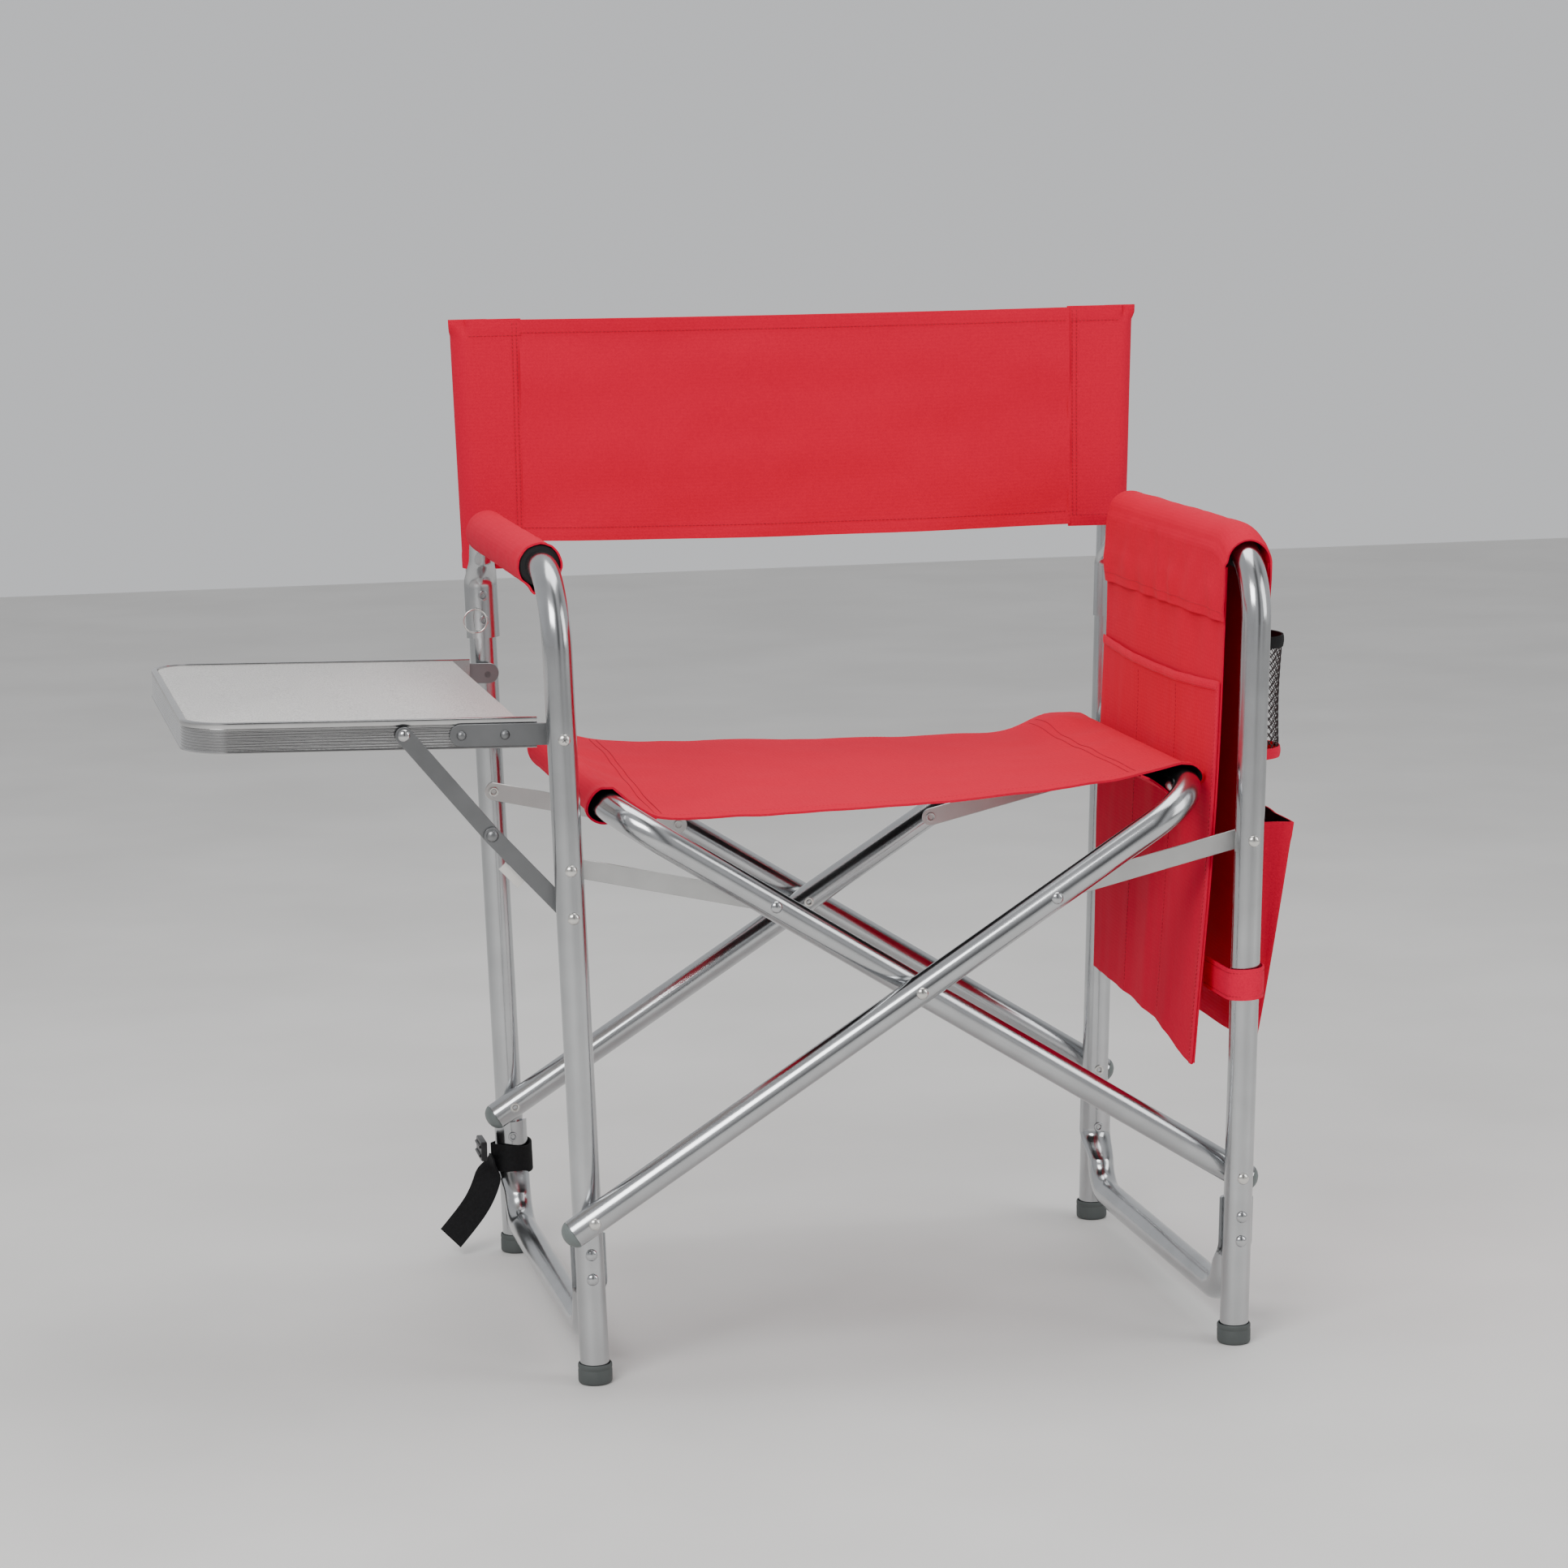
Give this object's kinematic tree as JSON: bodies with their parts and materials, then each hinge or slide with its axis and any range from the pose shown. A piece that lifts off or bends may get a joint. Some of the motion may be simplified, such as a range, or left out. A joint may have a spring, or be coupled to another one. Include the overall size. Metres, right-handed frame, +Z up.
{
  "type": "folding director chair",
  "caption": "Folding aluminium director chair with sling seat and back, padded arms, a hinged side table on a folding stay and a pocketed arm organiser.",
  "frame": {"origin": "middle of the bounding box's footprint, on the floor", "axes": "+X to the sitter's left (right as seen from the front), +Y to the back, +Z up"},
  "size_m": [0.9312, 0.4826, 0.8504],
  "materials": {
    "aluminium": "satin",
    "bar": "matte",
    "steel": "polished",
    "rubber": "matte",
    "cap": "matte",
    "cloth": "woven",
    "lining": "matte",
    "foam": "foam",
    "mesh": "open mesh",
    "panel": "speckled",
    "webbing": "webbing"
  },
  "bodies": {
    "left_frame": {"leg_arm_left": "aluminium", "rear_post_left": "aluminium", "stretcher_left": "aluminium", "foot_front_left": "rubber", "foot_rear_left": "rubber", "arm_foam_left": "foam", "arm_cover_left": "cloth", "back_sleeve_left": "cloth", "carry_strap_loop": "webbing", "carry_strap_tail": "webbing", "carry_strap_buckle": "lining", "pull_ring": "steel", "pivot_left_front": "steel", "pivot_left_rear": "steel", "strap_pin_front_left": "steel", "strap_pin_rear_left": "steel", "table_screw_front": "steel", "table_screw_rear": "steel", "stay_pin": "steel", "back_panel": "cloth"},
    "cross_a": {"cross_tube_a": "aluminium", "end_cap_a_front": "cap", "end_cap_a_rear": "cap", "seat_sleeve_right": "cloth", "pivot_cross_front": "steel", "pivot_cross_rear": "steel", "seat_panel": "cloth"},
    "cross_b": {"cross_tube_b": "aluminium", "end_cap_b_front": "cap", "end_cap_b_rear": "cap", "seat_sleeve_left": "cloth"},
    "right_frame": {"leg_arm_right": "aluminium", "rear_post_right": "aluminium", "stretcher_right": "aluminium", "foot_front_right": "rubber", "foot_rear_right": "rubber", "arm_foam_right": "foam", "organiser_cover": "cloth", "organiser_inner_bag": "cloth", "organiser_outer_bag": "cloth", "organiser_cup_pocket": "mesh", "organiser_leg_loop": "cloth", "back_sleeve_right": "cloth", "pivot_right_front": "steel", "pivot_right_rear": "steel", "strap_pin_front_right": "steel", "strap_pin_rear_right": "steel"},
    "straps_left": {"strap_front_left": "bar", "strap_rear_left": "bar"},
    "straps_right": {"strap_front_right": "bar", "strap_rear_right": "bar"},
    "table": {"table_rim": "aluminium", "table_panel": "panel", "table_bracket_front": "bar", "table_bracket_rear": "bar"},
    "stay_lower": {"stay_lower": "bar", "stay_lock_tab": "steel"},
    "stay_upper": {"stay_upper": "bar"}
  },
  "joints": [
    {"name": "fold", "type": "hinge", "parent": "left_frame", "child": "cross_a", "pos_m": [-0.15365, 0, 0.1435], "axis": [0, -1, 0], "range_deg": [0, 46.6], "deforming": ["seat_panel", "back_panel"]},
    {"name": "cross_pivot", "type": "hinge", "parent": "cross_a", "child": "cross_b", "pos_m": [0.12066, 0, 0.3175], "axis": [0, -1, 0], "range_deg": [-93.2, 0]},
    {"name": "right_pivot", "type": "hinge", "parent": "cross_b", "child": "right_frame", "pos_m": [0.39497, 0, 0.1435], "axis": [0, -1, 0], "range_deg": [0, 46.6]},
    {"name": "strap_left_pivot", "type": "hinge", "parent": "left_frame", "child": "straps_left", "pos_m": [-0.16221, 0, 0.429], "axis": [0, -1, 0], "range_deg": [0, 88]},
    {"name": "strap_right_pivot", "type": "hinge", "parent": "right_frame", "child": "straps_right", "pos_m": [0.40353, 0, 0.429], "axis": [0, -1, 0], "range_deg": [-88, 0]},
    {"name": "table_fold", "type": "hinge", "parent": "left_frame", "child": "table", "pos_m": [-0.16541, 0, 0.5356], "axis": [0, -1, 0], "range_deg": [0, 90]},
    {"name": "stay_lower_pivot", "type": "hinge", "parent": "left_frame", "child": "stay_lower", "pos_m": [-0.16104, 0, 0.39], "axis": [0, -1, 0], "range_deg": [0, 124.6]},
    {"name": "stay_upper_pivot", "type": "hinge", "parent": "table", "child": "stay_upper", "pos_m": [-0.29032, 0, 0.541], "axis": [0, -1, 0], "range_deg": [-135, 0]}
  ],
  "couplings": [
    {"joint": "cross_pivot", "follows": "fold", "ratio": -2},
    {"joint": "right_pivot", "follows": "fold", "ratio": 1},
    {"joint": "strap_left_pivot", "follows": "fold", "ratio": 1.8877},
    {"joint": "strap_right_pivot", "follows": "fold", "ratio": -1.8877},
    {"joint": "stay_lower_pivot", "follows": "table_fold", "ratio": 1.3841},
    {"joint": "stay_upper_pivot", "follows": "table_fold", "ratio": -1.4992}
  ]
}
